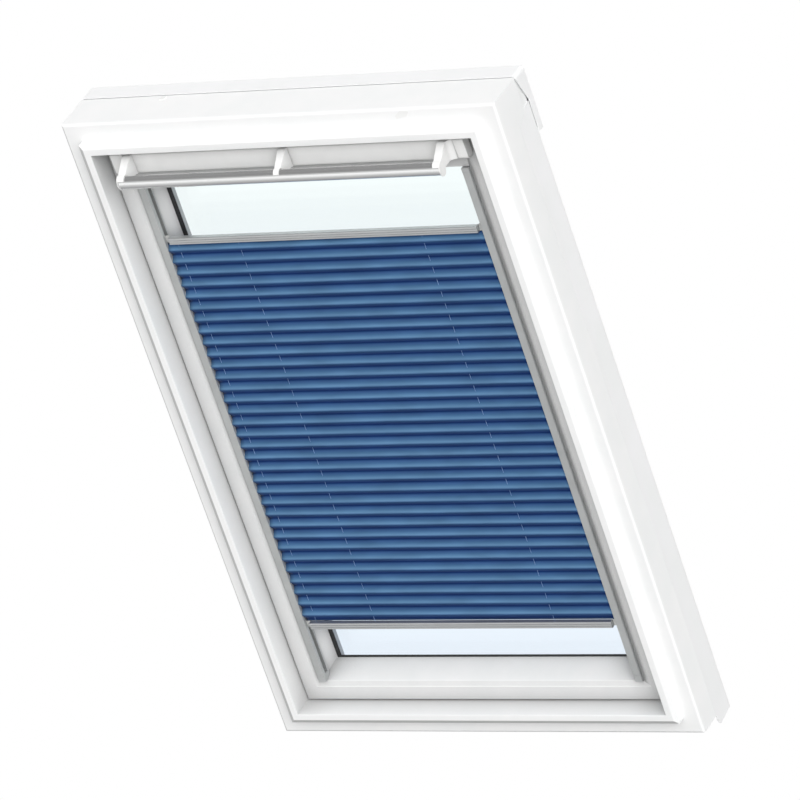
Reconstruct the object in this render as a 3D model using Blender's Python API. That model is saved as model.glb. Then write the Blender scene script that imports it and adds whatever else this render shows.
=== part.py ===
# Centre pivot roof window with a pleated blind, seen from the room with the roof slope stood upright.
# X runs to the right, Y through the window to the outside, Z up the slope. The origin is the middle
# of the white sill face under the frame. Lengths are in metres.
# A section is drawn in (out, deep): out is outward from the lip rectangle that faces the room, and
# deep is the depth behind its face.

import bpy
import bmesh
from math import atan2, cos, hypot, pi, radians, sin, tan
from mathutils import Matrix, Vector

# Lip rectangle of the frame and the planes of the window
lip_width = 0.720
lip_height = 1.118
overhang = 0.030            # frame and cladding beyond the lip rectangle
face_to_origin = 0.045      # room face to the plane of the origin
gap = 0.0003                # clearance between fixed neighbours

# Fixed frame
lip_reach = 0.018           # lip inward from its outer edge
lip_chamfer = 0.007
lip_chamfer_fall = 0.003
reveal_out = -0.021         # inner face of the frame behind the lip
lip_depth = 0.018
sash_face = 0.035           # face of the sash behind the room face
core_depth = 0.116
core_out = 0.0282
white_depth = 0.0955        # white face on the sides and head, before the hood
edge_round = 0.004
striker_half = 0.020
striker_deep = (0.018, 0.032)
striker_thick = 0.003

# Outer covers
sheet = 0.0015
cover_depth = 0.118
cover_in = -0.020
cover_bend = 0.0032
cover_start = 0.067         # front edge of the side and bottom covers
cover_top = 0.5355          # upper end of the side covers
cover_slope_foot = 0.515    # below this the covers have their full depth
cover_slope_deep = 0.099
cover_foot_front = -0.6015   # lower end of the side covers, past the sill
cover_foot_deep = 0.0746
cover_foot_up = -0.6095
cover_foot_back = -0.6051
hood_out = 0.0318
hood_depth = 0.1285
hood_wrap = 0.108           # how far the hood runs down the sides
hood_round = 0.006
hood_leg_deep = 0.115       # the legs narrow down to this depth
hood_leg_up = 0.5375
reach_past = 0.010          # cutters run this far past the body they cut

# Frame seals
seal_thick = 0.001
seal_from = 0.086
seal_to = 0.098

# Sash
sash_out = -0.024
band_out = -0.049           # raised outer band of the sash face
band_in = -0.051
step_depth = 0.0015         # the inner band lies this much deeper
sill_face_in = -0.0605      # inner edge of the face on the bottom member
face_in = -0.0593           # inner edge of the face on the sides, where the guide starts
reveal_foot = -0.077        # sloping inner reveal ends here, at the glass
glass_ledge = 0.080
rebate_out = -0.0495
sash_back = 0.104
apron_in = -0.088           # vent head under the flap
cover_glass_in = -0.0595
sash_cover_back = 0.112

# Glazing
gasket_in = -0.0846
gasket_in_foot = -0.0805
gasket_thick = 0.0014
pane_thick = 0.004
pane_edge = -0.050
pane_edge_head = -0.062
spacer_in = -0.0786
spacer_in_foot = -0.0685
spacer_wide = 0.008
inner_pane_from = 0.082
outer_pane_from = 0.100

# Pivot hinge
pivot_deep = 0.065
pivot_plate_high = 0.090
pivot_plate_deep = 0.030
pivot_plate_thick = 0.006
pin_radius = 0.006

# Blind guides
guide_in = -0.0725
guide_front = 0.0315
guide_back = 0.0495
guide_wall = 0.0016
guide_lip = 0.0013
slot_front = 0.038
slot_back = 0.0465
guide_bottom = -0.4978      # from the middle of the window, up the slope
guide_bottom_back = -0.4929
guide_low = -0.4850
guide_high = 0.4620
guide_top = 0.4700

# Blind
blind_plane = 0.036
rail_front = 0.031
rail_deep = 0.009
rail_half = 0.2795
top_rail_from = 0.3531
top_rail_to = 0.3651
bottom_rail_from = -0.3919
bottom_rail_to = -0.3799
rail_round = 0.0012
groove_deep = 0.0010
groove_half = 0.0007
slider_front = 0.0385
slider_back = 0.0425
slider_out = -0.0645
slider_high = 0.0114
fabric_half = 0.2870
pleats = 33
pleat_pitch = 0.02206
pleat_deep = 0.008
cloth_thick = 0.0006

# Control bar with the vent flap
flap_half = 0.300
flap_front = 0.014
flap_lean = 0.0015          # the face leans back by this much at its foot
flap_back = 0.031
flap_bottom = 0.4965
flap_top = 0.533
flap_wall = 0.002
flap_crown_round = 0.003
flap_foot_round = 0.004
flap_hinge_deep = 0.029
flap_hinge_up = 0.501
end_plate_to = 0.318
end_hollow_x = (0.302, 0.3128)
end_hollow_front = 0.0185
end_hollow_top = 0.515
hinge_pin_radius = 0.002
hinge_pin_to = 0.3165
bracket_x = (0.3032, 0.3116)
bracket_front = 0.024
bracket_half = 0.005
bar_deep = -0.021
bar_up = 0.5028
bar_radius_deep = 0.0085
bar_radius_up = 0.0113
bar_half = 0.2890
arm_cap_to = 0.2908
arm_inner = 0.2785
arm_inner_root = 0.2765
arm_clasp = 0.0012          # thickness of the arm where it goes over the bar
arm_crown_deep = 0.0065
arm_crown_up = 0.5325
arm_under = 0.5005
arm_under_deep = (-0.0115, 0.004)
arm_root_under = 0.4985
arm_flare = 0.009
middle_arm_half = 0.0046
middle_arm_root = 0.0072
lock_half = 0.045
lock_front = 0.022
lock_up = (0.507, 0.527)

half_width = lip_width / 2
half_height = lip_height / 2
middle_up = half_height + overhang

white_pu = ("white_lacquered_pu", (0.90, 0.90, 0.89), 0.35, 0.0)
white_plastic = ("white_plastic", (0.88, 0.88, 0.87), 0.40, 0.0)
cover_paint = ("white_coated_aluminium", (0.84, 0.85, 0.85), 0.40, 0.1)
anodised = ("anodised_aluminium", (0.62, 0.62, 0.61), 0.35, 0.9)
rail_metal = ("rail_aluminium", (0.60, 0.60, 0.58), 0.35, 0.9)
rubber = ("black_rubber", (0.03, 0.03, 0.03), 0.70, 0.0)
seal_rubber = ("grey_seal", (0.30, 0.30, 0.30), 0.70, 0.0)
clear_glass = ("pane_glass", (0.90, 0.97, 0.97), 0.05, 0.0)
steel = ("zinc_plated_steel", (0.55, 0.55, 0.55), 0.35, 1.0)
grey_plastic = ("grey_plastic", (0.35, 0.35, 0.36), 0.45, 0.0)
cloth = ("blue_pleated_fabric", (0.09, 0.19, 0.40), 0.85, 0.0)


def clear_scene():
    for obj in list(bpy.data.objects):
        bpy.data.objects.remove(obj, do_unlink=True)


def make_collection(name):
    collection = bpy.data.collections.new(name)
    bpy.context.scene.collection.children.link(collection)
    return collection


def make_material(finish):
    name, colour, roughness, metallic = finish
    found = bpy.data.materials.get(name)
    if found:
        return found
    made = bpy.data.materials.new(name)
    made.use_nodes = True
    shader = made.node_tree.nodes["Principled BSDF"]
    shader.inputs["Base Color"].default_value = (*colour, 1.0)
    shader.inputs["Roughness"].default_value = roughness
    shader.inputs["Metallic"].default_value = metallic
    return made


def make_empty(name, deep, up):
    empty = bpy.data.objects.new(name, None)
    empty.location = (0.0, deep - face_to_origin, middle_up + up)
    parts.objects.link(empty)
    return empty


def carry(obj, empty):
    obj.parent = empty
    obj.matrix_parent_inverse = Matrix.Translation(-Vector(empty.location))
    return obj


def keep(bm, name, finish, cutter=False):
    mesh = bpy.data.meshes.new(name)
    bm.normal_update()
    bmesh.ops.recalc_face_normals(bm, faces=bm.faces)
    if bm.calc_volume(signed=True) < 0.0:
        bmesh.ops.reverse_faces(bm, faces=bm.faces)
    bm.to_mesh(mesh)
    bm.free()
    obj = bpy.data.objects.new(name, mesh)
    if cutter:
        obj.hide_render = True
        obj.display_type = "WIRE"
        cutters.objects.link(obj)
    else:
        mesh.materials.append(make_material(finish))
        parts.objects.link(obj)
    return obj


def apply_shape(obj, cutter, operation):
    modifier = obj.modifiers.new(operation.lower(), "BOOLEAN")
    modifier.operation = operation
    modifier.solver = "EXACT"
    modifier.object = cutter
    return obj


def smooth(obj, angle=35.0):
    obj.data.shade_smooth()
    obj.data.set_sharp_from_angle(angle=radians(angle))
    return obj


# Outlines
def arc(centre, radii, start, end, count):
    points = []
    for k in range(count + 1):
        a = radians(start + (end - start) * k / count)
        points.append((centre[0] + radii[0] * cos(a), centre[1] + radii[1] * sin(a)))
    return points


def fillet(corners, count=3):
    points = []
    for k, corner in enumerate(corners):
        radius = corner[2] if len(corner) > 2 else 0.0
        here = Vector(corner[:2])
        if radius == 0.0:
            points.append(tuple(here))
            continue
        back = (Vector(corners[k - 1][:2]) - here).normalized()
        ahead = (Vector(corners[(k + 1) % len(corners)][:2]) - here).normalized()
        half = back.angle(ahead) / 2
        centre = here + (back + ahead).normalized() * (radius / sin(half))
        first = here + back * (radius / tan(half)) - centre
        last = here + ahead * (radius / tan(half)) - centre
        start = atan2(first.y, first.x)
        turn = (atan2(last.y, last.x) - start + pi) % (2 * pi) - pi
        for i in range(count + 1):
            a = start + turn * i / count
            points.append((centre.x + radius * cos(a), centre.y + radius * sin(a)))
    return points


def prism(outlines, length):
    data = bpy.data.curves.new("outline", "CURVE")
    data.dimensions = "2D"
    data.fill_mode = "BOTH"
    data.extrude = length / 2
    for outline in outlines:
        spline = data.splines.new("POLY")
        spline.points.add(len(outline) - 1)
        for point, place in zip(spline.points, outline):
            point.co = (place[0], place[1], 0.0, 1.0)
        spline.use_cyclic_u = True
    obj = bpy.data.objects.new("outline", data)
    parts.objects.link(obj)
    depsgraph = bpy.context.evaluated_depsgraph_get()
    mesh = bpy.data.meshes.new_from_object(obj.evaluated_get(depsgraph))
    bm = bmesh.new()
    bm.from_mesh(mesh)
    bmesh.ops.remove_doubles(bm, verts=bm.verts, dist=1e-6)
    bpy.data.objects.remove(obj, do_unlink=True)
    bpy.data.curves.remove(data)
    bpy.data.meshes.remove(mesh)
    return bm


def place_axes(x_to, y_to, z_to, origin):
    axes = Matrix((x_to, y_to, z_to)).transposed().to_4x4()
    return Matrix.Translation(Vector(origin)) @ axes


def side_frame(side):
    face = -face_to_origin
    if side == "right":
        return place_axes((1, 0, 0), (0, 1, 0), (0, 0, 1), (half_width, face, middle_up))
    if side == "left":
        return place_axes((-1, 0, 0), (0, 1, 0), (0, 0, -1), (-half_width, face, middle_up))
    if side == "top":
        return place_axes((0, 0, 1), (0, 1, 0), (-1, 0, 0), (0, face, middle_up + half_height))
    return place_axes((0, 0, -1), (0, 1, 0), (1, 0, 0), (0, face, middle_up - half_height))


def slice_off(bm, point, normal):
    geometry = bm.verts[:] + bm.edges[:] + bm.faces[:]
    bmesh.ops.bisect_plane(bm, geom=geometry, plane_co=point, plane_no=normal, clear_outer=True)
    open_edges = [edge for edge in bm.edges if edge.is_boundary]
    bmesh.ops.holes_fill(bm, edges=open_edges)


def mitred(name, side, section, finish):
    span = half_height if side in ("left", "right") else half_width
    bm = prism([section], 2 * (span + 3 * overhang))
    for end in (1, -1):
        slice_off(bm, Vector((0, 0, end * (span - gap))), Vector((-1, 0, end)).normalized())
    bm.transform(side_frame(side))
    return keep(bm, name, finish)


def along_slope(name, section, side, low, high, finish, cutter=False):
    bm = prism([section], high - low)
    flip = 1 if side == "right" else -1
    bm.transform(Matrix.Translation((0, 0, flip * (low + high) / 2)))
    bm.transform(side_frame(side))
    return keep(bm, name, finish, cutter)


def across(name, section, left, right, finish, cutter=False):
    bm = prism([section], right - left)
    where = ((left + right) / 2, -face_to_origin, middle_up)
    bm.transform(place_axes((0, 1, 0), (0, 0, 1), (1, 0, 0), where))
    return keep(bm, name, finish, cutter)


def block(name, x, deep, up, finish, cutter=False):
    bm = bmesh.new()
    bmesh.ops.create_cube(bm, size=1.0)
    bmesh.ops.scale(bm, vec=(x[1] - x[0], deep[1] - deep[0], up[1] - up[0]), verts=bm.verts)
    middle = (sum(x) / 2, sum(deep) / 2 - face_to_origin, sum(up) / 2 + middle_up)
    bmesh.ops.translate(bm, vec=middle, verts=bm.verts)
    return keep(bm, name, finish, cutter)


def rod(name, x, deep, up, radius, finish, cutter=False):
    bm = bmesh.new()
    bmesh.ops.create_cone(bm, cap_ends=True, segments=20, radius1=radius, radius2=radius,
                          depth=x[1] - x[0])
    where = (sum(x) / 2, deep - face_to_origin, middle_up + up)
    bm.transform(place_axes((0, 1, 0), (0, 0, 1), (1, 0, 0), where))
    return keep(bm, name, finish, cutter)


def facing_plate(name, outlines, deep_from, deep_to, finish, cutter=False):
    bm = prism(outlines, deep_to - deep_from)
    where = (0, (deep_from + deep_to) / 2 - face_to_origin, middle_up)
    bm.transform(place_axes((-1, 0, 0), (0, 0, 1), (0, 1, 0), where))
    return keep(bm, name, finish, cutter)


def rectangle(side_out, foot_out, head_out):
    x = half_width + side_out
    foot = -half_height - foot_out
    head = half_height + head_out
    return [(-x, foot), (x, foot), (x, head), (-x, head)]


# Fixed frame
def frame_section(white_to):
    return fillet([(-lip_reach, 0.0, 0.0012), (-lip_chamfer, 0.0, 0.001),
                   (0.0, lip_chamfer_fall, 0.001), (0.0, lip_depth),
                   (overhang, lip_depth, edge_round), (overhang, white_to, 0.001),
                   (core_out, white_to), (core_out, core_depth, cover_bend),
                   (reveal_out, core_depth), (reveal_out, sash_face)])


def cover_end(drop):
    return [(cover_start, cover_slope_foot - drop), (cover_slope_deep, cover_top - drop),
            (cover_depth + reach_past, cover_top - drop)]


def make_frame():
    members = {}
    for side, depth in (("top", white_depth), ("bottom", cover_start),
                        ("left", white_depth), ("right", white_depth)):
        member = mitred(f"frame_{side}_member", side, frame_section(depth), white_pu)
        members[side] = smooth(member)
    low = -half_height - overhang - reach_past
    bed = [(cover_start, low)] + cover_end(0.0) + [(cover_depth + reach_past, low)]
    for side, sign in (("left", -1), ("right", 1)):
        x = sorted((sign * (half_width + core_out), sign * (half_width + overhang + reach_past)))
        recess = across(f"{side}_cover_bed", bed, *x, None, cutter=True)
        apply_shape(members[side], recess, "DIFFERENCE")
    pocket_out = reveal_out + pivot_plate_thick
    high = pivot_plate_high / 2
    deep = pivot_plate_deep / 2
    for side, sign in (("left", -1), ("right", 1)):
        x = sorted((sign * (half_width + reveal_out - 0.002), sign * (half_width + pocket_out)))
        pocket = block(f"{side}_case_pocket", x, (pivot_deep - deep, pivot_deep + deep),
                       (-high, high), None, cutter=True)
        apply_shape(members[side], pocket, "DIFFERENCE")
        inner = half_width + reveal_out + gap
        x = sorted((sign * inner, sign * (half_width + pocket_out - gap)))
        case = block(f"pivot_case_{side}", x, (pivot_deep - deep + gap, pivot_deep + deep - gap),
                     (-high + gap, high - gap), steel)
        x = sorted((sign * (inner - 0.002), sign * (half_width + pocket_out + 0.002)))
        bore = rod(f"{side}_case_bore", x, pivot_deep, 0.0, pin_radius + gap, None, cutter=True)
        apply_shape(case, bore, "DIFFERENCE")
    striker_top = half_height + reveal_out - 2 * gap
    block("lock_striker", (-striker_half, striker_half), striker_deep,
          (striker_top - striker_thick, striker_top), steel)


def make_seals():
    outer = reveal_out - gap
    inner = outer - seal_thick
    long_side = half_height + inner - gap
    for side in ("left", "right"):
        strip = [(inner, seal_from), (outer, seal_from), (outer, seal_to), (inner, seal_to)]
        along_slope(f"frame_seal_{side}", strip, side, -long_side, long_side, seal_rubber)
    for side, sign in (("top", 1), ("bottom", -1)):
        up = sorted((sign * (half_height + inner), sign * (half_height + outer)))
        half = half_width + outer - gap
        block(f"frame_seal_{side}", (-half, half), (seal_from, seal_to), up, seal_rubber)


def make_covers():
    start = cover_start + gap
    section = fillet([(overhang, start), (overhang, cover_depth, 0.005), (cover_in, cover_depth),
                      (cover_in, core_depth + gap), (overhang - sheet, core_depth + gap, cover_bend),
                      (overhang - sheet, start)])
    over = [(cover_depth + reach_past, half_height), (cover_start, half_height)]
    under = cover_foot_up - reach_past
    foot = [(cover_start, under), (cover_start, cover_foot_front), (cover_foot_deep, cover_foot_up),
            (cover_depth, cover_foot_back), (cover_depth + reach_past, cover_foot_back),
            (cover_depth + reach_past, under)]
    wide = half_width + overhang + reach_past
    trims = [across("cover_end_trim", cover_end(2 * gap) + over, -wide, wide, None, cutter=True),
             across("cover_foot_trim", foot, -wide, wide, None, cutter=True)]
    for side in ("left", "right"):
        cover = along_slope(f"side_cover_{side}", section, side, cover_foot_up - gap, cover_top,
                            cover_paint)
        for trim in trims:
            apply_shape(smooth(cover), trim, "DIFFERENCE")
    low = -half_height - overhang
    ends = half_width + cover_in - 4 * gap
    bottom = [(start, low), (cover_depth, low), (cover_depth, -half_height - cover_in),
              (core_depth + gap, -half_height - cover_in), (core_depth + gap, low + sheet),
              (start, low + sheet)]
    across("bottom_cover", bottom, -ends, ends, cover_paint)


def hood_outline(grow, drop):
    x = half_width + hood_out + grow
    inner = half_width + cover_in - grow
    top = half_height + hood_out + grow
    under = half_height + cover_in - grow
    foot = half_height + overhang - hood_wrap - drop
    return fillet([(-x, foot), (-inner, foot), (-inner, under), (inner, under), (inner, foot),
                   (x, foot), (x, top, hood_round + grow), (-x, top, hood_round + grow)])


def make_hood():
    before = white_depth - reach_past
    hood = facing_plate("top_hood", [hood_outline(0.0, 0.0)], white_depth + gap, hood_depth,
                        cover_paint)
    hollow = facing_plate("hood_hollow", [hood_outline(-sheet, reach_past)], before,
                          hood_depth - sheet, None, cutter=True)
    apply_shape(hood, hollow, "DIFFERENCE")
    wide = half_width + cover_in + 2 * sheet
    foot = half_height + overhang - hood_wrap - reach_past
    under = half_height + cover_in + 2 * sheet
    clear = facing_plate("hood_inner_clearance",
                         [[(-wide, foot), (wide, foot), (wide, under), (-wide, under)]],
                         before, cover_depth + 2 * gap, None, cutter=True)
    apply_shape(hood, clear, "DIFFERENCE")
    shoulder = half_height + overhang - 2 * sheet
    slant = [(before, shoulder), (white_depth, shoulder), (hood_leg_deep, hood_leg_up),
             (hood_leg_deep, foot), (before, foot)]
    wide = half_width + hood_out + reach_past
    legs = across("hood_leg_trim", slant, -wide, wide, None, cutter=True)
    apply_shape(hood, legs, "DIFFERENCE")


# Sash
def guide_rebate():
    step = sash_face + step_depth
    back = guide_back + gap
    share = (back - step) / (glass_ledge - step)
    return step, back, sill_face_in + share * (reveal_foot - sill_face_in)


def sash_section(side):
    step, rebate_back, rebate_in = guide_rebate()
    front = [(sash_out, sash_face, 0.0015), (band_out, sash_face, 0.0012), (band_in, step)]
    if side == "top":
        return fillet(front + [(sill_face_in, step), (sill_face_in, sash_back),
                               (sash_out, sash_back)])
    if side == "bottom":
        reveal = [(sill_face_in, step, 0.0015), (reveal_foot, glass_ledge)]
    else:
        reveal = [(face_in, step), (face_in, rebate_back), (rebate_in, rebate_back),
                  (reveal_foot, glass_ledge)]
    return fillet(front + reveal + [(rebate_out, glass_ledge), (rebate_out, sash_back),
                                    (sash_out, sash_back)])


def make_sash():
    members = {}
    for side in ("top", "bottom", "left", "right"):
        member = mitred(f"sash_{side}_member", side, sash_section(side), white_pu)
        members[side] = smooth(carry(member, sash_axis))
    high = pivot_plate_high / 2
    deep = pivot_plate_deep / 2
    for side, sign in (("left", -1), ("right", 1)):
        face = half_width + sash_out
        x = sorted((sign * (face - pivot_plate_thick), sign * (face + 0.002)))
        pocket = block(f"{side}_plate_pocket", x, (pivot_deep - deep, pivot_deep + deep),
                       (-high, high), None, cutter=True)
        apply_shape(members[side], carry(pocket, sash_axis), "DIFFERENCE")
        x = sorted((sign * (face - pivot_plate_thick + gap), sign * (face - gap)))
        plate = block(f"pivot_plate_{side}", x,
                      (pivot_deep - deep + gap, pivot_deep + deep - gap),
                      (-high + gap, high - gap), steel)
        reach = half_width + reveal_out + pivot_plate_thick - 3 * gap
        x = sorted((sign * (face - pivot_plate_thick / 2), sign * reach))
        pin = rod(f"{side}_pivot_pin", x, pivot_deep, 0.0, pin_radius, None, cutter=True)
        apply_shape(carry(plate, sash_axis), carry(pin, sash_axis), "UNION")


def make_vent_head():
    step, rebate_back, rebate_in = guide_rebate()
    wide = half_width + face_in - gap
    narrow = half_width + rebate_in - gap
    foot = half_width + reveal_foot - gap
    plan = [(-wide, step), (wide, step), (wide, rebate_back), (narrow, rebate_back),
            (foot, glass_ledge), (-foot, glass_ledge), (-narrow, rebate_back), (-wide, rebate_back)]
    top = half_height + sill_face_in - gap
    bottom = half_height + apron_in
    bm = prism([plan], top - bottom)
    bm.transform(Matrix.Translation((0, -face_to_origin, middle_up + (top + bottom) / 2)))
    carry(keep(bm, "vent_head", white_pu), sash_axis)


def make_glazing():
    ledge = glass_ledge + gap
    edge = rectangle(pane_edge, pane_edge, pane_edge_head)
    lip = rectangle(gasket_in, gasket_in_foot, gasket_in)
    gasket = facing_plate("glazing_gasket", [edge, lip], ledge, ledge + gasket_thick, rubber)
    inner = facing_plate("inner_pane", [edge], inner_pane_from, inner_pane_from + pane_thick,
                         clear_glass)
    around = rectangle(spacer_in + spacer_wide, spacer_in_foot + spacer_wide,
                       spacer_in + spacer_wide)
    hole = rectangle(spacer_in, spacer_in_foot, spacer_in)
    spacer = facing_plate("pane_spacer", [around, hole], inner_pane_from + pane_thick + gap,
                          outer_pane_from - gap, anodised)
    outer = facing_plate("outer_pane", [edge], outer_pane_from, outer_pane_from + pane_thick - gap,
                         clear_glass)
    for piece in (gasket, inner, spacer, outer):
        carry(piece, sash_axis)
    start = sash_back + gap
    section = fillet([(sash_out, start), (sash_out, sash_cover_back, 0.003),
                      (cover_glass_in + 0.004, sash_cover_back), (cover_glass_in, start + 0.002),
                      (cover_glass_in, start)])
    for side in ("top", "bottom", "left", "right"):
        cover = mitred(f"sash_cover_{side}", side, section, cover_paint)
        carry(smooth(cover), sash_axis)


def make_guides():
    front = guide_front
    back = guide_back
    outer = face_in - gap
    lip = guide_in + guide_lip
    wall = outer - guide_wall
    section = [(outer, front), (guide_in, front, 0.0008), (guide_in, slot_front), (lip, slot_front),
               (lip, front + guide_wall), (wall, front + guide_wall), (wall, back - guide_wall),
               (lip, back - guide_wall), (lip, slot_back), (guide_in, slot_back),
               (guide_in, back), (outer, back)]
    step = sash_face + step_depth
    foot = [(front, guide_bottom), (step, guide_bottom), (back, guide_bottom_back),
            (back, guide_low), (front, guide_low)]
    crown = [(front, guide_high), (back, guide_high), (back, guide_top), (front, guide_top)]
    for side, sign in (("left", -1), ("right", 1)):
        guide = along_slope(f"blind_guide_{side}", fillet(section), side, guide_low + gap,
                            guide_high - gap, anodised)
        carry(smooth(guide), sash_axis)
        x = sorted((sign * (half_width + guide_in), sign * (half_width + outer)))
        carry(across(f"guide_cap_top_{side}", crown, *x, grey_plastic), sash_axis)
        carry(across(f"guide_cap_bottom_{side}", foot, *x, grey_plastic), sash_axis)


# Control bar with the vent flap
def make_flap():
    front = flap_front
    foot = front + flap_lean
    wall = flap_wall
    face = [(flap_back, flap_top), (front, flap_top, flap_crown_round),
            (foot, flap_bottom, flap_foot_round)]
    hollow = [(foot + wall, flap_bottom + wall, flap_foot_round - wall),
              (front + wall, flap_top - wall, flap_crown_round - wall), (flap_back, flap_top - wall)]
    shell = fillet(face + [(flap_back, flap_bottom), (flap_back, flap_bottom + wall)] + hollow)
    carry(smooth(across("vent_flap", shell, -flap_half, flap_half, white_plastic)), bar_axis)
    plate = fillet(face + [(flap_back, flap_bottom, 0.002)])
    for side, sign in (("left", -1), ("right", 1)):
        x = sorted((sign * (flap_half + gap), sign * end_plate_to))
        end = carry(across(f"flap_end_{side}", plate, *x, white_plastic), bar_axis)
        x = sorted(sign * place for place in end_hollow_x)
        room = block(f"{side}_end_hollow", x, (end_hollow_front, flap_back + reach_past),
                     (flap_bottom - reach_past, end_hollow_top), None, cutter=True)
        apply_shape(end, carry(room, bar_axis), "DIFFERENCE")
        x = sorted((sign * flap_half, sign * (hinge_pin_to + gap)))
        bore = rod(f"{side}_flap_bore", x, flap_hinge_deep, flap_hinge_up,
                   hinge_pin_radius + gap, None, cutter=True)
        apply_shape(end, carry(bore, bar_axis), "DIFFERENCE")
        x = sorted(sign * place for place in bracket_x)
        bracket = block(f"flap_bracket_{side}", x, (bracket_front, sash_face - gap),
                        (flap_hinge_up - bracket_half, flap_hinge_up + bracket_half), white_plastic)
        x = sorted((sign * (flap_half + gap), sign * hinge_pin_to))
        pin = rod(f"{side}_flap_pin", x, flap_hinge_deep, flap_hinge_up, hinge_pin_radius,
                  None, cutter=True)
        apply_shape(carry(bracket, sash_axis), carry(pin, sash_axis), "UNION")
    lock = block("lock_case", (-lock_half, lock_half), (lock_front, sash_face - gap), lock_up, steel)
    carry(lock, sash_axis)


def arm_outline(closed_end):
    root = flap_front - gap
    centre = (bar_deep, bar_up)
    over = (bar_radius_deep + gap + arm_clasp, bar_radius_up + gap + arm_clasp)
    crown = [(root, flap_top), (arm_crown_deep, arm_crown_up)]
    foot = [(arm_under_deep[0], arm_under), (arm_under_deep[1], arm_under), (root, arm_root_under)]
    if closed_end:
        return crown + arc(centre, over, 80, 300, 18) + foot
    saddle = arc(centre, (bar_radius_deep + gap, bar_radius_up + gap), 150, -5, 12)
    return crown + arc(centre, over, 80, 150, 7) + saddle + foot


def shape_arm(arm, plan):
    bm = prism([plan], 4 * bar_radius_up + flap_top - flap_bottom)
    bm.transform(Matrix.Translation((0, -face_to_origin, middle_up + (flap_bottom + flap_top) / 2)))
    limits = carry(keep(bm, arm.name + "_plan", None, cutter=True), bar_axis)
    return apply_shape(arm, limits, "INTERSECT")


def make_bar():
    profile = arc((bar_deep, bar_up), (bar_radius_deep, bar_radius_up), 0, 350, 35)
    carry(smooth(across("grip_bar", profile, -bar_half, bar_half, anodised), 60.0), bar_axis)
    root = flap_front - gap
    nose = bar_deep - 2 * bar_radius_deep
    for side, sign in (("left", -1), ("right", 1)):
        x = sorted((sign * arm_inner_root, sign * (arm_cap_to + arm_flare)))
        arm = carry(across(f"bar_arm_{side}", arm_outline(False), *x, white_plastic), bar_axis)
        x = sorted((sign * (bar_half + gap), sign * (arm_cap_to + arm_flare)))
        cap = across(f"{side}_arm_cap", arm_outline(True), *x, None, cutter=True)
        apply_shape(arm, carry(cap, bar_axis), "UNION")
        flare = arc((arm_cap_to + arm_flare, root - arm_flare), (arm_flare, arm_flare), 180, 90, 6)
        plan = [(arm_inner, nose), (arm_cap_to, nose)] + flare
        plan += [(arm_cap_to + arm_flare, root + gap), (arm_inner_root, root + gap)]
        smooth(shape_arm(arm, [(sign * across_x, deep) for across_x, deep in plan]))
    middle = across("bar_arm_middle", arm_outline(False), -middle_arm_root, middle_arm_root,
                    white_plastic)
    plan = [(-middle_arm_half, nose), (middle_arm_half, nose), (middle_arm_root, root + gap),
            (-middle_arm_root, root + gap)]
    smooth(shape_arm(carry(middle, bar_axis), plan))


# Blind
def rail_section(low, high):
    back = rail_front + rail_deep
    groove = rail_front + groove_deep
    third = (high - low) / 3
    points = [(rail_front, low, rail_round)]
    for k in (1, 2):
        middle = low + k * third
        points += [(rail_front, middle - groove_half), (groove, middle - groove_half),
                   (groove, middle + groove_half), (rail_front, middle + groove_half)]
    points += [(rail_front, high, rail_round), (back, high, rail_round), (back, low, rail_round)]
    return fillet(points)


def make_rail(name, low, high, axis):
    rail = across(name, rail_section(low, high), -rail_half, rail_half, rail_metal)
    carry(smooth(rail), axis)
    middle = (low + high) / 2
    up = (middle - slider_high / 2, middle + slider_high / 2)
    for side, sign in (("left", -1), ("right", 1)):
        x = sorted((sign * (rail_half + gap), sign * (half_width + slider_out)))
        slider = block(f"{name}_slider_{side}", x, (slider_front, slider_back), up, grey_plastic)
        carry(slider, axis)


def make_fabric():
    top = top_rail_from - gap
    bottom = bottom_rail_to + gap
    half = pleat_deep / 2
    slant = hypot(half * 2, pleat_pitch / 2)
    shift = cloth_thick / 2 * slant / (pleat_pitch / 2)
    front = []
    back = []
    for k in range(2 * pleats + 1):
        up = top - k * pleat_pitch / 2
        deep = blind_plane + (half if k % 2 == 0 else -half)
        front.append((deep - shift, up))
        back.append((deep + shift, up))
    front.append((front[-1][0], bottom))
    back.append((back[-1][0], bottom))
    fabric = across("pleated_fabric", front + back[::-1], -fabric_half, fabric_half, cloth)
    carry(fabric, top_rail_axis)


clear_scene()
parts = make_collection("roof_window_blind")
cutters = make_collection("cutters")
sash_axis = make_empty("sash_axis", pivot_deep, 0.0)
bar_axis = make_empty("bar_axis", flap_hinge_deep, flap_hinge_up)
top_rail_axis = make_empty("top_rail_axis", blind_plane, top_rail_from)
bottom_rail_axis = make_empty("bottom_rail_axis", blind_plane, bottom_rail_to)

make_frame()
make_seals()
make_covers()
make_hood()
make_sash()
make_vent_head()
make_glazing()
make_guides()
make_flap()
make_bar()
make_rail("top_rail", top_rail_from, top_rail_to, top_rail_axis)
make_rail("bottom_rail", bottom_rail_from, bottom_rail_to, bottom_rail_axis)
make_fabric()
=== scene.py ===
import math
import bpy
import bmesh
from mathutils import Matrix, Vector


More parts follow.
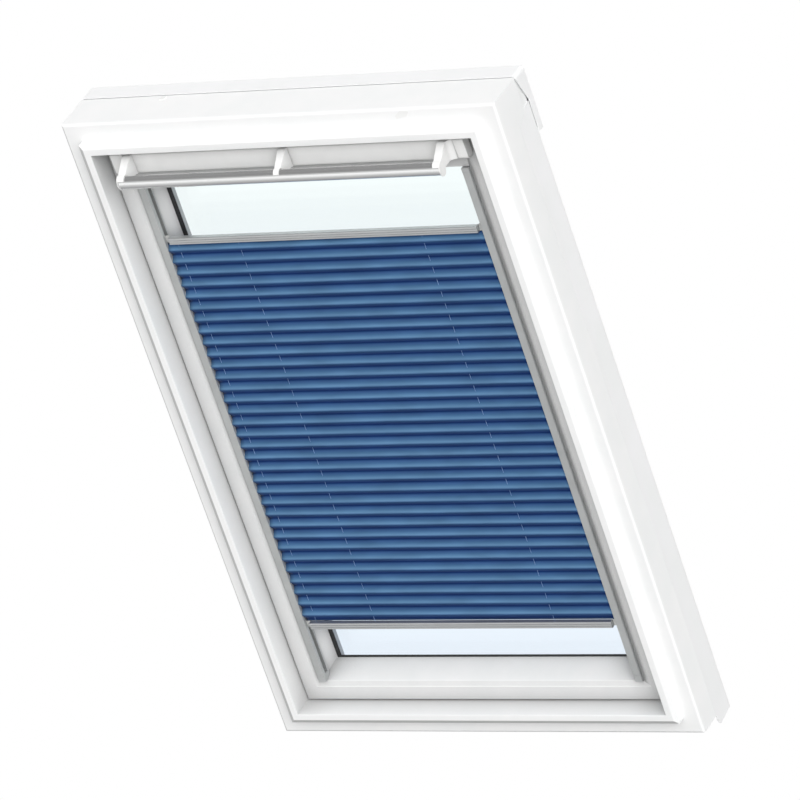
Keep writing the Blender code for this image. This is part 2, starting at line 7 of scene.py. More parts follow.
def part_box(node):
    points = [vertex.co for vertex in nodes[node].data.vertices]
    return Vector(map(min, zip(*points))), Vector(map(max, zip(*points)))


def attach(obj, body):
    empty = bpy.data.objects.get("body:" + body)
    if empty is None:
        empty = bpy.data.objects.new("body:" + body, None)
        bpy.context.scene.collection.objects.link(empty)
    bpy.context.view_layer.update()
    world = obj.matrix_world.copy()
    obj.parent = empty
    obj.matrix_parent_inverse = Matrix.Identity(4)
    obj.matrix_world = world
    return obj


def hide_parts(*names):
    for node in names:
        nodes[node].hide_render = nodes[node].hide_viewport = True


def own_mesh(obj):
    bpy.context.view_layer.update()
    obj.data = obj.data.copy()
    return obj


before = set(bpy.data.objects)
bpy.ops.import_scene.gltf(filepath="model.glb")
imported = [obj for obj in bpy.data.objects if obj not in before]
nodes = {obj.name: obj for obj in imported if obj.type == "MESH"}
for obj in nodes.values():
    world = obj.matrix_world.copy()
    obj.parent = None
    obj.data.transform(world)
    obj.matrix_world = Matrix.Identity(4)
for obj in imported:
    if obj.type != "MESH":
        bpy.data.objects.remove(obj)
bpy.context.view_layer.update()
mm = 0.001
sides = ("top", "bottom", "left", "right")
pair = ("left", "right")

# planes of the window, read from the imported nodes
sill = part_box("frame_bottom_member")
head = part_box("frame_top_member")
lipInset = 30 * mm                          # from the frame's outer edge in to the lip's
roomFace = sill[0][1]                       # y of the lip that faces the room
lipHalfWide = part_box("frame_right_member")[1][0] - lipInset
middleUp = (sill[0][2] + head[1][2]) / 2
lipHalfHigh = (head[1][2] - sill[0][2]) / 2 - lipInset
print("window: lip", round(2 * lipHalfWide, 4), "x", round(2 * lipHalfHigh, 4))


# helpers
def linear(hexColour):
    parts = [int(hexColour[k:k + 2], 16) / 255 for k in (1, 3, 5)]
    return (*[c / 12.92 if c <= 0.04045 else ((c + 0.055) / 1.055) ** 2.4 for c in parts], 1.0)


def addNode(tree, kind, settings=None, links=None):
    node = tree.nodes.new(kind)
    for name, value in (settings or {}).items():
        if isinstance(name, int) or name in node.inputs:
            node.inputs[name].default_value = value
        else:
            setattr(node, name, value)
    for name, source in (links or {}).items():
        tree.links.new(source, node.inputs[name])
    return node


def setStops(ramp, stops):
    elements = ramp.color_ramp.elements
    while len(elements) < len(stops):
        elements.new(0.5)
    for element, (position, colour) in zip(elements, stops):
        element.position = position
        element.color = colour


meshSet = {
    "weld": 0.01 * mm, "flatDegrees": 0.6,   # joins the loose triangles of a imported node
    "doubles": 0.001 * mm, "edgeDegrees": 40, "straight": 0.999, "sharpDegrees": 30,
    "flatWeight": 100,
}


def mergedCopy(name):
    bm = bmesh.new()
    bm.from_mesh(nodes[name].data)
    bm.transform(nodes[name].matrix_world)
    bmesh.ops.remove_doubles(bm, verts=bm.verts, dist=meshSet["weld"])
    bmesh.ops.dissolve_limit(bm, angle_limit=math.radians(meshSet["flatDegrees"]),
                             verts=bm.verts, edges=bm.edges)
    return bm


def soften(bm, width, segments=3, along=None):
    chosen = []
    for edge in bm.edges:
        line = (edge.verts[1].co - edge.verts[0].co).normalized()
        if along is not None and abs(line[along]) < meshSet["straight"]:
            continue
        if edge.is_manifold and edge.calc_face_angle(0.0) > math.radians(meshSet["edgeDegrees"]):
            chosen.append(edge)
    bmesh.ops.bevel(bm, geom=chosen, offset=width, offset_type="OFFSET", affect="EDGES",
                    segments=segments, profile=0.5, material=-1, clamp_overlap=True)
    return bm


def newPiece(name, bm, material, body, replaced=(),
             sharpDegrees=meshSet["sharpDegrees"], weighted=True):
    mesh = bpy.data.meshes.new(name)
    bmesh.ops.remove_doubles(bm, verts=bm.verts, dist=meshSet["doubles"])
    bmesh.ops.recalc_face_normals(bm, faces=bm.faces)
    bm.to_mesh(mesh)
    bm.free()
    mesh.shade_smooth()
    mesh.set_sharp_from_angle(angle=math.radians(sharpDegrees))
    mesh.materials.append(material)
    piece = bpy.data.objects.new(name, mesh)
    bpy.context.scene.collection.objects.link(piece)
    if weighted:                             # keeps the flats flat beside their rounded edges
        flat = piece.modifiers.new("flats", "WEIGHTED_NORMAL")
        flat.keep_sharp = True
        flat.weight = meshSet["flatWeight"]
    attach(piece, body)
    if replaced:
        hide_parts(*replaced)
    return piece


# camera: the photograph's long lens view, from above and to the right of the window
cameraSet = {
    "lens": 302.2564, "sensor": 36.0, "shift": 0.5 / 800, "clip": (0.1, 100.0),
    "place": (5.341779, -7.670051, 5.049459),     # from the middle of the lip rectangle
    "right": (0.865690, 0.406077, -0.292716),
    "up": (0.021130, 0.554588, 0.831857),
}


def makeCamera():
    data = bpy.data.cameras.new("photoCamera")
    data.lens = cameraSet["lens"]
    data.sensor_width = cameraSet["sensor"]
    data.shift_x = -cameraSet["shift"]
    data.shift_y = cameraSet["shift"]
    data.clip_start, data.clip_end = cameraSet["clip"]
    camera = bpy.data.objects.new("photoCamera", data)
    right = Vector(cameraSet["right"]).normalized()
    up = Vector(cameraSet["up"])
    up = (up - right * up.dot(right)).normalized()
    turn = Matrix((right, up, right.cross(up))).transposed().to_4x4()
    middle = Vector((0.0, roomFace, middleUp))
    camera.matrix_world = Matrix.Translation(middle + Vector(cameraSet["place"])) @ turn
    bpy.context.scene.collection.objects.link(camera)
    bpy.context.scene.camera = camera


makeCamera()

# studio: plain white to the camera, lit by a broad key from the upper right and a weak fill
# from the left and behind, with grey bands for metal and gloss to mirror
studioSet = {
    "level": 0.22, "key": (0.585, -0.575, 0.575), "keyPower": 6.0, "keyLevel": 3.85,
    "back": (-0.85, 0.35, 0.3), "backPower": 2.0, "backLevel": 0.8,
    "lobeLeast": 0.5,                        # before the power, so no side is quite unlit
    "bands": ((0.0, 0.2), (0.07, 0.3), (0.265, 0.68), (0.41, 1.15), (0.54, 0.65), (0.7, 0.18),
              (1.0, 0.25)),                  # from straight down to straight up
    "keyMirrored": 1.8, "white": (1, 1, 1, 1),
    "floorUp": -1.2, "floorSize": 40.0, "floorColour": "#979796", "floorRough": 0.9,
    "lampPlace": (4.2, -5.2, 5.6), "lampSize": 3.0, "lampPower": 30.0,
}


def seenWhite(tree, path, shaded, glow):     # white for the camera, also through the panes
    seen = addNode(tree, "ShaderNodeMath", {"operation": "MAXIMUM"},
                   {0: path.outputs["Is Camera Ray"], 1: path.outputs["Is Transmission Ray"]})
    white = addNode(tree, glow, {"Color": studioSet["white"], "Strength": 1.0})
    mixed = addNode(tree, "ShaderNodeMixShader", None,
                    {0: seen.outputs[0], 1: shaded, 2: white.outputs[0]})
    return mixed.outputs[0]


def makeWorld():
    world = bpy.data.worlds.new("studio")
    bpy.context.scene.world = world
    world.use_nodes = True
    tree = world.node_tree
    tree.nodes.clear()
    place = addNode(tree, "ShaderNodeTexCoord").outputs["Generated"]
    lobes = {}
    for name in ("key", "back"):
        toward = Vector(studioSet[name]).normalized()
        facing = addNode(tree, "ShaderNodeVectorMath", {"operation": "DOT_PRODUCT", 1: toward},
                         {0: place})
        front = addNode(tree, "ShaderNodeMath",
                        {"operation": "MAXIMUM", 1: studioSet["lobeLeast"]},
                        {0: facing.outputs["Value"]})
        lobe = addNode(tree, "ShaderNodeMath",
                       {"operation": "POWER", 1: studioSet[name + "Power"]}, {0: front.outputs[0]})
        lobes[name] = lobe.outputs[0]
    low = addNode(tree, "ShaderNodeMath",
                  {"operation": "MULTIPLY_ADD", 1: studioSet["backLevel"], 2: studioSet["level"]},
                  {0: lobes["back"]})
    full = addNode(tree, "ShaderNodeMath",
                   {"operation": "MULTIPLY_ADD", 1: studioSet["keyLevel"]},
                   {0: lobes["key"], 2: low.outputs[0]})
    light = addNode(tree, "ShaderNodeBackground", {"Color": studioSet["white"]},
                    {"Strength": full.outputs[0]})
    height = addNode(tree, "ShaderNodeSeparateXYZ", None, {0: place}).outputs["Z"]
    level = addNode(tree, "ShaderNodeMapRange", {"From Min": -1.0, "From Max": 1.0},
                    {"Value": height})
    bands = addNode(tree, "ShaderNodeValToRGB", None, {"Fac": level.outputs["Result"]})
    setStops(bands, [(up, (grey, grey, grey, 1.0)) for up, grey in studioSet["bands"]])
    lit = addNode(tree, "ShaderNodeMath",
                  {"operation": "MULTIPLY_ADD", 1: studioSet["keyMirrored"]},
                  {0: lobes["key"], 2: bands.outputs["Color"]})
    mirrored = addNode(tree, "ShaderNodeBackground", {"Color": studioSet["white"]},
                       {"Strength": lit.outputs[0]})
    path = addNode(tree, "ShaderNodeLightPath")
    glossy = addNode(tree, "ShaderNodeMixShader", None,
                     {0: path.outputs["Is Glossy Ray"], 1: light.outputs[0],
                      2: mirrored.outputs[0]})
    seen = seenWhite(tree, path, glossy.outputs[0], "ShaderNodeBackground")
    addNode(tree, "ShaderNodeOutputWorld", None, {"Surface": seen})


def makeFloor():
    finish = bpy.data.materials.new("paleFloor")
    finish.use_nodes = True
    tree = finish.node_tree
    shader = tree.nodes["Principled BSDF"]
    shader.inputs["Base Color"].default_value = linear(studioSet["floorColour"])
    shader.inputs["Roughness"].default_value = studioSet["floorRough"]
    path = addNode(tree, "ShaderNodeLightPath")
    seen = seenWhite(tree, path, shader.outputs[0], "ShaderNodeEmission")
    tree.links.new(seen, tree.nodes["Material Output"].inputs["Surface"])
    bm = bmesh.new()
    bmesh.ops.create_grid(bm, x_segments=1, y_segments=1, size=studioSet["floorSize"] / 2)
    mesh = bpy.data.meshes.new("floor")
    bm.to_mesh(mesh)
    bm.free()
    mesh.materials.append(finish)
    floor = bpy.data.objects.new("floor", mesh)
    floor.location = (0, 0, studioSet["floorUp"])
    floor.visible_glossy = False
    bpy.context.scene.collection.objects.link(floor)


def makeLamp():
    data = bpy.data.lights.new("softbox", "AREA")
    data.shape = "SQUARE"
    data.size = studioSet["lampSize"]
    data.energy = studioSet["lampPower"]
    lamp = bpy.data.objects.new("softbox", data)
    lamp.location = studioSet["lampPlace"]
    aim = Vector((0.0, 0.0, middleUp)) - lamp.location
    lamp.rotation_euler = aim.to_track_quat("-Z", "Y").to_euler()
    lamp.visible_glossy = False
    bpy.context.scene.collection.objects.link(lamp)


makeWorld()
makeFloor()
makeLamp()
print("camera and studio ready")

# finishes
looks = {
    # sprayed lacquer over moulded foam: an even clean white with the faintest orange peel; painted
    # shade darkens it inside the opening and on the lip's chamfers that turn left or down
    "satinWhiteLacquer": {"dark": "#F2F3F3", "light": "#F5F5F5", "patchMm": 60, "rough": 0.32,
                          "grainMm": 2.5, "grainDepthMm": 0.01, "shadeMm": 70,
                          "shadeLeast": 0.6, "chamferShade": 0.62},
    # the same lacquer on the sash, its white painted greyer as shade because it sits deeper, and
    # painted shade darkens it further where walls stand close
    "sashShadedLacquer": {"dark": "#E9EAEA", "light": "#EDEDED", "patchMm": 60, "rough": 0.34,
                         "grainMm": 2.5, "grainDepthMm": 0.01, "shadeMm": 70,
                         "shadeLeast": 0.45},
    # moulded plastic, a touch duller than the lacquer beside it, with painted shade where walls
    # stand close
    "mouldedWhitePlastic": {"dark": "#ECECEB", "light": "#F0F0EF", "patchMm": 40, "rough": 0.38,
                            "grainMm": 1.0, "grainDepthMm": 0.01, "shadeMm": 30,
                            "shadeLeast": 0.7},
    # powder coated sheet, a slightly cooler and flatter white
    "whitePowderCoat": {"dark": "#EFF0F0", "light": "#F2F2F3", "patchMm": 70, "rough": 0.45,
                        "grainMm": 1.6, "grainDepthMm": 0.015},
    # satin anodised tube, its bright lines stay clean and even along its length
    "satinBarAluminium": {"dark": "#F0F1F1", "light": "#F3F3F3", "patchMm": 60, "rough": 0.18,
                          "grainMm": 0.3, "grainDepthMm": 0.0005, "shader": {"Metallic": 0.95}},
    # matt anodised extrusion, a plain light grey with lines drawn along it
    "mattGuideAluminium": {"dark": "#B3B5B5", "light": "#BDBFBF", "patchMm": 50, "rough": 0.45,
                           "grainMm": 0.6, "grainDepthMm": 0.003, "stretch": (1, 1, 0.02),
                           "shader": {"Metallic": 0.5}},
    # satin extrusion with bright beads
    "satinRailAluminium": {"dark": "#C3C5C6", "light": "#C9CBCC", "patchMm": 60, "rough": 0.3,
                           "grainMm": 0.3, "grainDepthMm": 0.0005, "shader": {"Metallic": 0.8}},
    # mill finished strip between the panes, dull and cool
    "spacerAluminium": {"dark": "#A8AAAE", "light": "#B3B5B8", "patchMm": 20, "rough": 0.42,
                        "grainMm": 0.7, "grainDepthMm": 0.005, "shader": {"Metallic": 0.6}},
    # zinc plated steel, slightly cloudy
    "zincPlatedSteel": {"dark": "#A4A6A8", "light": "#BDBFC1", "patchMm": 8, "rough": 0.35,
                        "grainMm": 1.5, "grainDepthMm": 0.01, "shader": {"Metallic": 1.0}},
    # moulded grey plastic of the sliding blocks, even and dull
    "mouldedGreyPlastic": {"dark": "#C2C3C1", "light": "#CDCECC", "patchMm": 10, "rough": 0.45,
                           "grainMm": 0.8, "grainDepthMm": 0.015},
    # matt black glazing rubber, a soft dark line round the glass
    "blackRubber": {"dark": "#1E1F20", "light": "#2C2D2E", "patchMm": 5, "rough": 0.62,
                    "grainMm": 0.8, "grainDepthMm": 0.02},
    # grey weather seal between sash and frame, matt and slightly mottled
    "greySealRubber": {"dark": "#4A4A4A", "light": "#565656", "patchMm": 5, "rough": 0.62,
                       "grainMm": 0.8, "grainDepthMm": 0.02},
    # polyester tension thread, a pale line that hardly shines
    "paleThread": {"dark": "#6E8FC0", "light": "#88A5D2", "patchMm": 3, "rough": 0.7,
                   "grainMm": 0.4, "grainDepthMm": 0.02},
}
finishSet = {
    "patchDetail": 3.0, "patchLow": 0.35, "patchHigh": 0.65,
    "grainDetail": 2.0, "grainLow": 0.3, "grainHigh": 0.7, "roughSpread": 0.12, "relief": 0.5,
    # the rest sets the painted shade: darker near walls inside the lip's opening, and on the lip's
    # chamfers that turn left or down
    "samples": 8, "shut": 0.4, "open": 0.95,      # how free a shaded spot is of near walls
    "lipFrom": -8 * mm, "lipTo": -4 * mm,         # past the lip's outline, negative within it
    "chamferFrom": -9 * mm, "chamferTo": -12 * mm,
    "leanFull": -0.34, "leanNone": -0.15,         # the normal's x and z together
    "turnFull": -0.6, "turnNone": -0.4,           # the normal's y
}


def newMaterial(name):
    material = bpy.data.materials.new(name)
    material.use_nodes = True
    tree = material.node_tree
    place = addNode(tree, "ShaderNodeTexCoord").outputs["Object"]
    return material, tree, tree.nodes["Principled BSDF"], place


def addGrain(tree, shader, look, place):     # fine relief, and roughness that varies with it
    drawn = addNode(tree, "ShaderNodeMapping", {"Scale": look.get("stretch", (1, 1, 1))},
                    {"Vector": place})
    grain = addNode(tree, "ShaderNodeTexNoise",
                    {"Scale": 1 / (look["grainMm"] * mm), "Detail": finishSet["grainDetail"]},
                    {"Vector": drawn.outputs["Vector"]})
    rough = addNode(tree, "ShaderNodeMapRange",
                    {"From Min": finishSet["grainLow"], "From Max": finishSet["grainHigh"],
                     "To Min": look["rough"] * (1 - finishSet["roughSpread"]),
                     "To Max": look["rough"] * (1 + finishSet["roughSpread"])},
                    {"Value": grain.outputs["Fac"]})
    tree.links.new(rough.outputs["Result"], shader.inputs["Roughness"])
    relief = addNode(tree, "ShaderNodeBump",
                     {"Strength": finishSet["relief"], "Distance": look["grainDepthMm"] * mm},
                     {"Height": grain.outputs["Fac"]})
    tree.links.new(relief.outputs["Normal"], shader.inputs["Normal"])
    for socket, value in look.get("shader", {}).items():
        shader.inputs[socket].default_value = value


def lipDistance(tree, place):                # how far a spot lies past the lip's outline
    spot = addNode(tree, "ShaderNodeSeparateXYZ", None, {0: place})
    middle = addNode(tree, "ShaderNodeMath", {"operation": "SUBTRACT", 1: middleUp},
                     {0: spot.outputs["Z"]})
    reach = []
    for source, half in ((spot.outputs["X"], lipHalfWide), (middle.outputs[0], lipHalfHigh)):
        far = addNode(tree, "ShaderNodeMath", {"operation": "ABSOLUTE"}, {0: source})
        past = addNode(tree, "ShaderNodeMath", {"operation": "SUBTRACT", 1: half},
                       {0: far.outputs[0]})
        reach.append(past.outputs[0])
    return addNode(tree, "ShaderNodeMath", {"operation": "MAXIMUM"}, {0: reach[0], 1: reach[1]})


# painted shade: the base colour darkens where walls stand close inside the lip, and faces turned
# left keep their full colour
def openingShade(tree, look, past, turned):  # gathers inside the lip, not on faces turned left
    near = addNode(tree, "ShaderNodeAmbientOcclusion",
                   {"samples": finishSet["samples"], "Distance": look["shadeMm"] * mm})
    depth = addNode(tree, "ShaderNodeMapRange",
                    {"From Min": finishSet["shut"], "From Max": finishSet["open"],
                     "To Min": look["shadeLeast"]}, {"Value": near.outputs["AO"]})
    outside = addNode(tree, "ShaderNodeMapRange",
                      {"From Min": finishSet["lipFrom"], "From Max": finishSet["lipTo"]},
                      {"Value": past.outputs[0]})
    kept = addNode(tree, "ShaderNodeMath", {"operation": "MAXIMUM"},
                   {0: depth.outputs["Result"], 1: outside.outputs["Result"]})
    bright = addNode(tree, "ShaderNodeMapRange", {"From Min": 0.0, "From Max": -1.0},
                     {"Value": turned.outputs["X"]})
    return addNode(tree, "ShaderNodeMath", {"operation": "MAXIMUM"},
                   {0: kept.outputs[0], 1: bright.outputs["Result"]})


# painted shade on the lip's chamfers that turn left or down, away from the key light
def chamferShade(tree, look, past, turned):  # lies on the lip's chamfers that turn left or down
    lean = addNode(tree, "ShaderNodeMath", {"operation": "ADD"},
                   {0: turned.outputs["X"], 1: turned.outputs["Z"]})
    away = addNode(tree, "ShaderNodeMapRange",
                   {"From Min": finishSet["leanFull"], "From Max": finishSet["leanNone"],
                    "To Min": look["chamferShade"]}, {"Value": lean.outputs[0]})
    sideways = addNode(tree, "ShaderNodeMapRange",
                       {"From Min": finishSet["turnFull"], "From Max": finishSet["turnNone"]},
                       {"Value": turned.outputs["Y"]})
    inside = addNode(tree, "ShaderNodeMapRange",
                     {"From Min": finishSet["chamferFrom"], "From Max": finishSet["chamferTo"]},
                     {"Value": past.outputs[0]})
    either = addNode(tree, "ShaderNodeMath", {"operation": "MAXIMUM"},
                     {0: sideways.outputs["Result"], 1: inside.outputs["Result"]})
    return addNode(tree, "ShaderNodeMath", {"operation": "MAXIMUM"},
                   {0: away.outputs["Result"], 1: either.outputs[0]})


def newFinish(name, look):
    material, tree, shader, place = newMaterial(name)
    patches = addNode(tree, "ShaderNodeTexNoise",
                      {"Scale": 1 / (look["patchMm"] * mm), "Detail": finishSet["patchDetail"]},
                      {"Vector": place})
    share = addNode(tree, "ShaderNodeMapRange",
                    {"From Min": finishSet["patchLow"], "From Max": finishSet["patchHigh"]},
                    {"Value": patches.outputs["Fac"]})
    base = addNode(tree, "ShaderNodeMix",
                   {"data_type": "RGBA", 6: linear(look["dark"]), 7: linear(look["light"])},
                   {0: share.outputs["Result"]})
    colour = base.outputs[2]
    # painted shade: each chosen shade scales the base colour down
    paintedShades = [kind for kind, key in ((openingShade, "shadeMm"), (chamferShade, "chamferShade"))
              if key in look]
    if paintedShades:
        past = lipDistance(tree, place)
        normal = addNode(tree, "ShaderNodeNewGeometry").outputs["Normal"]
        turned = addNode(tree, "ShaderNodeSeparateXYZ", None, {0: normal})
    for shade in paintedShades:
        amount = shade(tree, look, past, turned)
        shaded = addNode(tree, "ShaderNodeVectorMath", {"operation": "SCALE"},
                         {0: colour, "Scale": amount.outputs[0]})
        colour = shaded.outputs[0]
    tree.links.new(colour, shader.inputs["Base Color"])
    addGrain(tree, shader, look, place)
    return material


finishes = {name: newFinish(name, look) for name, look in looks.items()}

glassSet = {
    "upper": "#FBFFFF", "lower": "#F5FAFF", "low": 0.1, "high": 1.0,    # heights in metres
    "ior": 1.25,                             # under glass's 1.52, at which two panes mirror more
}


def paneGlass():                             # float glass, clear with a faint cool tint at its foot
    material, tree, shader, place = newMaterial("floatGlass")
    up = addNode(tree, "ShaderNodeSeparateXYZ", None, {0: place}).outputs["Z"]
    share = addNode(tree, "ShaderNodeMapRange",
                    {"From Min": glassSet["low"], "From Max": glassSet["high"]}, {"Value": up})
    body = addNode(tree, "ShaderNodeMix",
                   {"data_type": "RGBA", 6: linear(glassSet["lower"]),
                    7: linear(glassSet["upper"])}, {0: share.outputs["Result"]})
    tree.links.new(body.outputs[2], shader.inputs["Base Color"])
    shader.inputs["Roughness"].default_value = 0.0
    shader.inputs["IOR"].default_value = glassSet["ior"]
    shader.inputs["Transmission Weight"].default_value = 1.0
    return material


def dress(material, *names):
    for name in names:
        piece = nodes[name]
        if piece.material_slots:
            for slot in piece.material_slots:
                slot.material = material
        else:
            piece.data.materials.append(material)


def finishOf(name):
    return nodes[name].material_slots[0].material


dress(finishes["satinWhiteLacquer"], *[f"frame_{s}_member" for s in sides])
dress(finishes["sashShadedLacquer"], *[f"sash_{s}_member" for s in sides], "vent_head")
dress(finishes["mouldedWhitePlastic"], "vent_flap", "bar_arm_middle",
      *[f"{part}_{s}" for part in ("flap_end", "bar_arm", "flap_bracket") for s in pair])
dress(finishes["whitePowderCoat"], "top_hood", "bottom_cover",
      *[f"side_cover_{s}" for s in pair], *[f"sash_cover_{s}" for s in sides])
dress(finishes["satinBarAluminium"], "grip_bar")
dress(finishes["mattGuideAluminium"], *[f"blind_guide_{s}" for s in pair],
      *[f"guide_cap_{end}_{s}" for end in ("top", "bottom") for s in pair])
dress(finishes["satinRailAluminium"], "top_rail", "bottom_rail")
dress(finishes["spacerAluminium"], "pane_spacer")
dress(finishes["blackRubber"], "glazing_gasket")
dress(finishes["greySealRubber"], *[f"frame_seal_{s}" for s in sides])
dress(finishes["zincPlatedSteel"], "lock_striker", "lock_case",
      *[f"pivot_{part}_{s}" for part in ("case", "plate") for s in pair])
dress(finishes["mouldedGreyPlastic"], *[f"{rail}_rail_slider_{s}" for rail in ("top", "bottom")
                                        for s in pair])
dress(paneGlass(), "inner_pane", "outer_pane")
for name in ("inner_pane", "outer_pane"):
    nodes[name].visible_shadow = False       # clear glass lets the studio's light through
print("finishes ready")

# mouldings: the ends of each ring's four members meet, so no seam shows at the corners
mouldingSet = {
    "overlap": 0.02 * mm,                    # of the side members past the mitre plane
    "reach": 0.45 * mm,                      # from that plane to the ends that move onto it
}


def makeMoulding(name, part):
    ring = bmesh.new()
    for side in sides:
        bm = mergedCopy(f"{part}_{side}_member")
        for vert in bm.verts:
            across = abs(vert.co.x) - lipHalfWide
            upward = abs(vert.co.z - middleUp) - lipHalfHigh
            if abs(across - upward) < mouldingSet["reach"]:
                if side in pair:
                    far = lipHalfHigh + across + mouldingSet["overlap"]
                    vert.co.z = middleUp + math.copysign(far, vert.co.z - middleUp)
                else:
                    vert.co.x = math.copysign(lipHalfWide + upward, vert.co.x)
        mesh = bpy.data.meshes.new(f"{name}_{side}")
        bm.to_mesh(mesh)
        bm.free()
        ring.from_mesh(mesh)
        bpy.data.meshes.remove(mesh)
    members = [f"{part}_{side}_member" for side in sides]
    piece = newPiece(name, ring, finishOf(members[0]), part, members)
    print(name, len(piece.data.polygons), "faces")


makeMoulding("frameMoulding", "frame")
makeMoulding("sashMoulding", "sash")

# small parts with their edges broken
softSet = {"guide": 0.5 * mm, "rail": 0.3 * mm, "slider": 0.5 * mm, "arm": 0.7 * mm}


def softPiece(name, node, width, body, slotName, **edges):
    bm = soften(mergedCopy(node), width, **edges)
    newPiece(name, bm, finishOf(node), body, [node])


for side in pair:
    softPiece(f"{side}Guide", f"blind_guide_{side}", softSet["guide"], "sash",
              "guide_aluminium", along=2)
    softPiece(f"{side}GuideFoot", f"guide_cap_bottom_{side}", softSet["guide"], "sash",
              "grey_plastic")
    for rail in ("top", "bottom"):
        softPiece(f"{rail}RailSlider{side.title()}", f"{rail}_rail_slider_{side}",
                  softSet["slider"], f"blind_{rail}_rail", "grey_plastic")
for rail in ("top", "bottom"):
    softPiece(f"{rail}Rail", f"{rail}_rail", softSet["rail"], f"blind_{rail}_rail",
              "rail_aluminium", along=0)
for name in ("left", "middle", "right"):
    softPiece(f"{name}Arm", f"bar_arm_{name}", softSet["arm"], "control_bar", "white_plastic",
              segments=2)
print("small parts ready")

# pleated fabric
fabricSet = {
    "pleats": 33, "pitch": 22.06 * mm, "thick": 0.35 * mm,
    "reach": 3.75 * mm, "round": 0.975,      # half a pleat's depth; round is 1 for a sharp fold
    "columns": 64, "rowsPerPleat": 12, "sharpDegrees": 75,
    "wave": 0.22 * mm, "sway": ((23, 1.9), (9, 0.7)),    # radians a metre, and a pleat
    "travel": 655 * mm,                      # how far the bottom rail rises
    "cloudMm": 1000 / 14, "cloudStretch": (1, 1, 5),     # 14 to the metre across, 70 down
    "cloudDetail": 2.0, "cloudLow": 0.3, "cloudHigh": 0.7, "cloudSpread": 0.12,
    # the weave is drawn coarser than real threads, so that it shows
    "weave": {"rough": 0.8, "grainMm": 0.9, "grainDepthMm": 0.06,
              "shader": {"Sheen Weight": 0.05, "Sheen Roughness": 0.4,
                         "Specular IOR Level": 0.12}},
    # the blues from one back fold down to the next: painted shade darkest in the back folds, and a
    # painted highlight just above the front fold
    "paintedShades": ((0.0, "#0B275A"), (0.07, "#284877"), (0.12, "#355482"), (0.23, "#3E6188"),
               (0.345, "#4F7597"), (0.41, "#5B7FA3"), (0.46, "#55789D"), (0.545, "#325584"),
               (0.7, "#1E467E"), (0.85, "#153D79"), (0.97, "#0E2F66")),
}
cordSet = {"radius": 0.3 * mm, "sides": 8, "places": (-0.2673, -0.1561, 0.1759)}


def makeFabric():
    low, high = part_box("pleated_fabric")
    half = high[0]
    middle = (low[1] + high[1]) / 2
    rows = fabricSet["pleats"] * fabricSet["rowsPerPleat"]
    bm = bmesh.new()
    bm.loops.layers.uv.new("fold")
    bmesh.ops.create_grid(bm, x_segments=fabricSet["columns"], y_segments=rows + 1, size=0.5,
                          calc_uvs=True)
    lean = math.asin(fabricSet["round"])
    line = []
    for row in range(rows + 1):
        phase = row / fabricSet["rowsPerPleat"]
        fold = math.asin(fabricSet["round"] * math.cos(2 * math.pi * phase)) / lean
        line.append((middle + fabricSet["reach"] * fold, high[2] - phase * fabricSet["pitch"]))
    line.append((line[-1][0], low[2]))
    (ripple, rippleStep), (drift, driftStep) = fabricSet["sway"]
    for vert in bm.verts:
        row = round((0.5 - vert.co.y) * (rows + 1))
        deep, up = line[row]
        x = vert.co.x * 2 * half
        phase = row / fabricSet["rowsPerPleat"]
        sway = (math.sin(ripple * x + rippleStep * round(phase))
                * math.sin(drift * x + driftStep * phase))
        vert.co = (x, deep + fabricSet["wave"] * sway * (1 if 0 < row < rows else 0), up)
    flat = sum(math.dist(a, b) for a, b in zip(line, line[1:]))
    return bm, flat, 2 * half, high[2], middle, low[2]
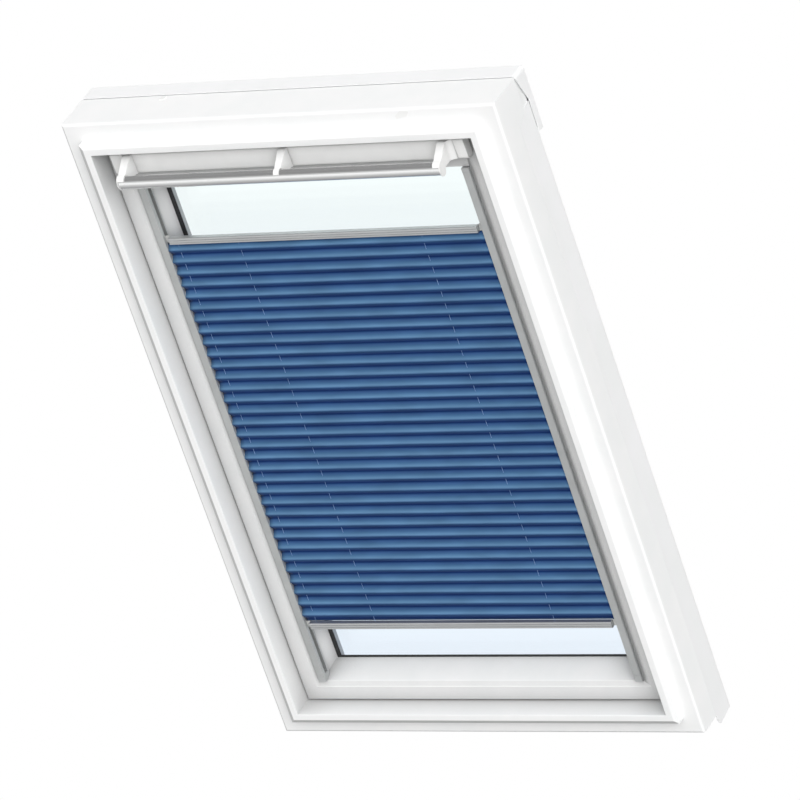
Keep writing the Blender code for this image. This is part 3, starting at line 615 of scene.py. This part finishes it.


# the cloth's blue is painted darker in its back folds as shade and lighter above its front folds as
# highlight
def pleatCloth():                            # woven polyester, matt and darkest in its back folds
    material, tree, shader, place = newMaterial("pleatedPolyester")
    addGrain(tree, shader, fabricSet["weave"], place)
    fold = addNode(tree, "ShaderNodeUVMap", {"uv_map": "fold"}).outputs["UV"]
    down = addNode(tree, "ShaderNodeSeparateXYZ", None, {0: fold}).outputs["Y"]
    turns = fabricSet["pleats"] + 1 / fabricSet["rowsPerPleat"]
    pleats = addNode(tree, "ShaderNodeMath",
                     {"operation": "MULTIPLY_ADD", 1: -turns, 2: turns}, {0: down})
    phase = addNode(tree, "ShaderNodeMath", {"operation": "FRACT"}, {0: pleats.outputs[0]})
    # painted shade and highlight across each pleat, set by the fold's phase
    colours = addNode(tree, "ShaderNodeValToRGB", None, {"Fac": phase.outputs[0]})
    setStops(colours, [(part, linear(shade)) for part, shade in fabricSet["paintedShades"]])
    drawn = addNode(tree, "ShaderNodeMapping", {"Scale": fabricSet["cloudStretch"]},
                    {"Vector": place})
    cloud = addNode(tree, "ShaderNodeTexNoise",
                    {"Scale": 1 / (fabricSet["cloudMm"] * mm), "Detail": fabricSet["cloudDetail"]},
                    {"Vector": drawn.outputs["Vector"]})
    level = addNode(tree, "ShaderNodeMapRange",
                    {"From Min": fabricSet["cloudLow"], "From Max": fabricSet["cloudHigh"],
                     "To Min": 1 - fabricSet["cloudSpread"],
                     "To Max": 1 + fabricSet["cloudSpread"]}, {"Value": cloud.outputs["Fac"]})
    shadedClothColour = addNode(tree, "ShaderNodeVectorMath", {"operation": "SCALE"},
                    {0: colours.outputs["Color"], "Scale": level.outputs["Result"]})
    tree.links.new(shadedClothColour.outputs[0], shader.inputs["Base Color"])
    return material


bm, flatLong, flatWide, fabricTop, fabricDeep, fabricFoot = makeFabric()
fabric = newPiece("pleatedFabric", bm, pleatCloth(), "blind_top_rail",
                  ["pleated_fabric"], fabricSet["sharpDegrees"], weighted=False)
thicken = fabric.modifiers.new("thickness", "SOLIDIFY")
thicken.thickness = fabricSet["thick"]
thicken.offset = 0.0
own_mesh(fabric)
for number, x in enumerate(cordSet["places"]):
    bm = bmesh.new()
    bmesh.ops.create_cone(bm, cap_ends=True, segments=cordSet["sides"], radius1=cordSet["radius"],
                          radius2=cordSet["radius"], depth=fabricTop - fabricFoot)
    bmesh.ops.translate(bm, verts=bm.verts, vec=(x, fabricDeep, (fabricTop + fabricFoot) / 2))
    cord = newPiece(f"tensionCord{number}", bm, finishes["paleThread"], "blind_top_rail")
    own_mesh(cord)
print("fabric ready, flat length", round(flatLong, 3))

# cap on the head's step and stud on its top face, in mm across, up from the middle and deep
trimSet = {
    "cap": {"corners": ((213, 576.2), (214.6, 571.3), (232.8, 574.7), (239.4, 583.3),
                        (224.4, 585.8)), "deep": (17.6, 18.3), "edge": 0.2},
    "stud": {"corners": ((-240.5, 588.6), (-228.5, 588.6), (-230.0, 590.2), (-239.0, 590.2)),
             "deep": (82, 91), "edge": 0.2},
}
for name, size in trimSet.items():
    front, back = (roomFace + deep * mm for deep in size["deep"])
    bm = bmesh.new()
    face = bm.faces.new([bm.verts.new((x * mm, front, middleUp + up * mm))
                         for x, up in size["corners"]])
    walls = bmesh.ops.extrude_face_region(bm, geom=[face])
    bmesh.ops.translate(bm, verts=[v for v in walls["geom"] if isinstance(v, bmesh.types.BMVert)],
                        vec=(0, back - front, 0))
    bmesh.ops.recalc_face_normals(bm, faces=bm.faces)
    soften(bm, size["edge"] * mm, segments=2)
    newPiece(f"{name}Plug", bm, finishes["mouldedWhitePlastic"], "frame")
print("trim ready")

bpy.context.scene.view_settings.view_transform = "Standard"
